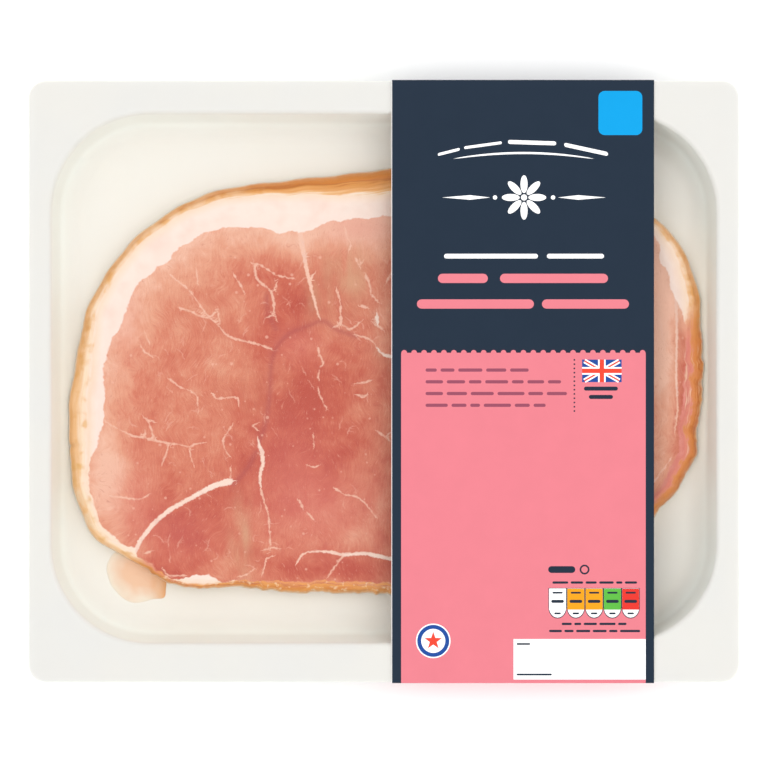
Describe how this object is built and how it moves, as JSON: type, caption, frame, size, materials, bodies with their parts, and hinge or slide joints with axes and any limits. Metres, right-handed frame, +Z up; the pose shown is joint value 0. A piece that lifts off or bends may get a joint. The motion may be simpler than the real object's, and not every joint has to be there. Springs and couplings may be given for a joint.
{
  "type": "gammon steak pack",
  "caption": "Flat supermarket pack of gammon: a cured pork steak in a shallow pale plastic tray, under clear film, with a printed card sleeve round it.",
  "frame": {"origin": "under the middle of the pack, on the surface that it lies on", "axes": "+Z up, away from the surface it lies on, the side with the film; +X along the long side, towards the end the sleeve is nearer; +Y across the pack, towards the top of the printed panel"},
  "size_m": [0.23, 0.1954, 0.0181],
  "materials": {
    "tray_plastic": "cream-white thermoformed sheet, soft gloss",
    "gammon": "moist cured pork: pink lean, white fat, smoked orange-brown rind",
    "clear_film": "clear sealed lid film",
    "printed_card": "coated white card, printed dark blue and pink, satin varnish"
  },
  "bodies": {
    "root": {"tray": "tray_plastic", "gammon_steak": "gammon", "lid_film": "clear_film", "sleeve": "printed_card"}
  },
  "joints": []
}
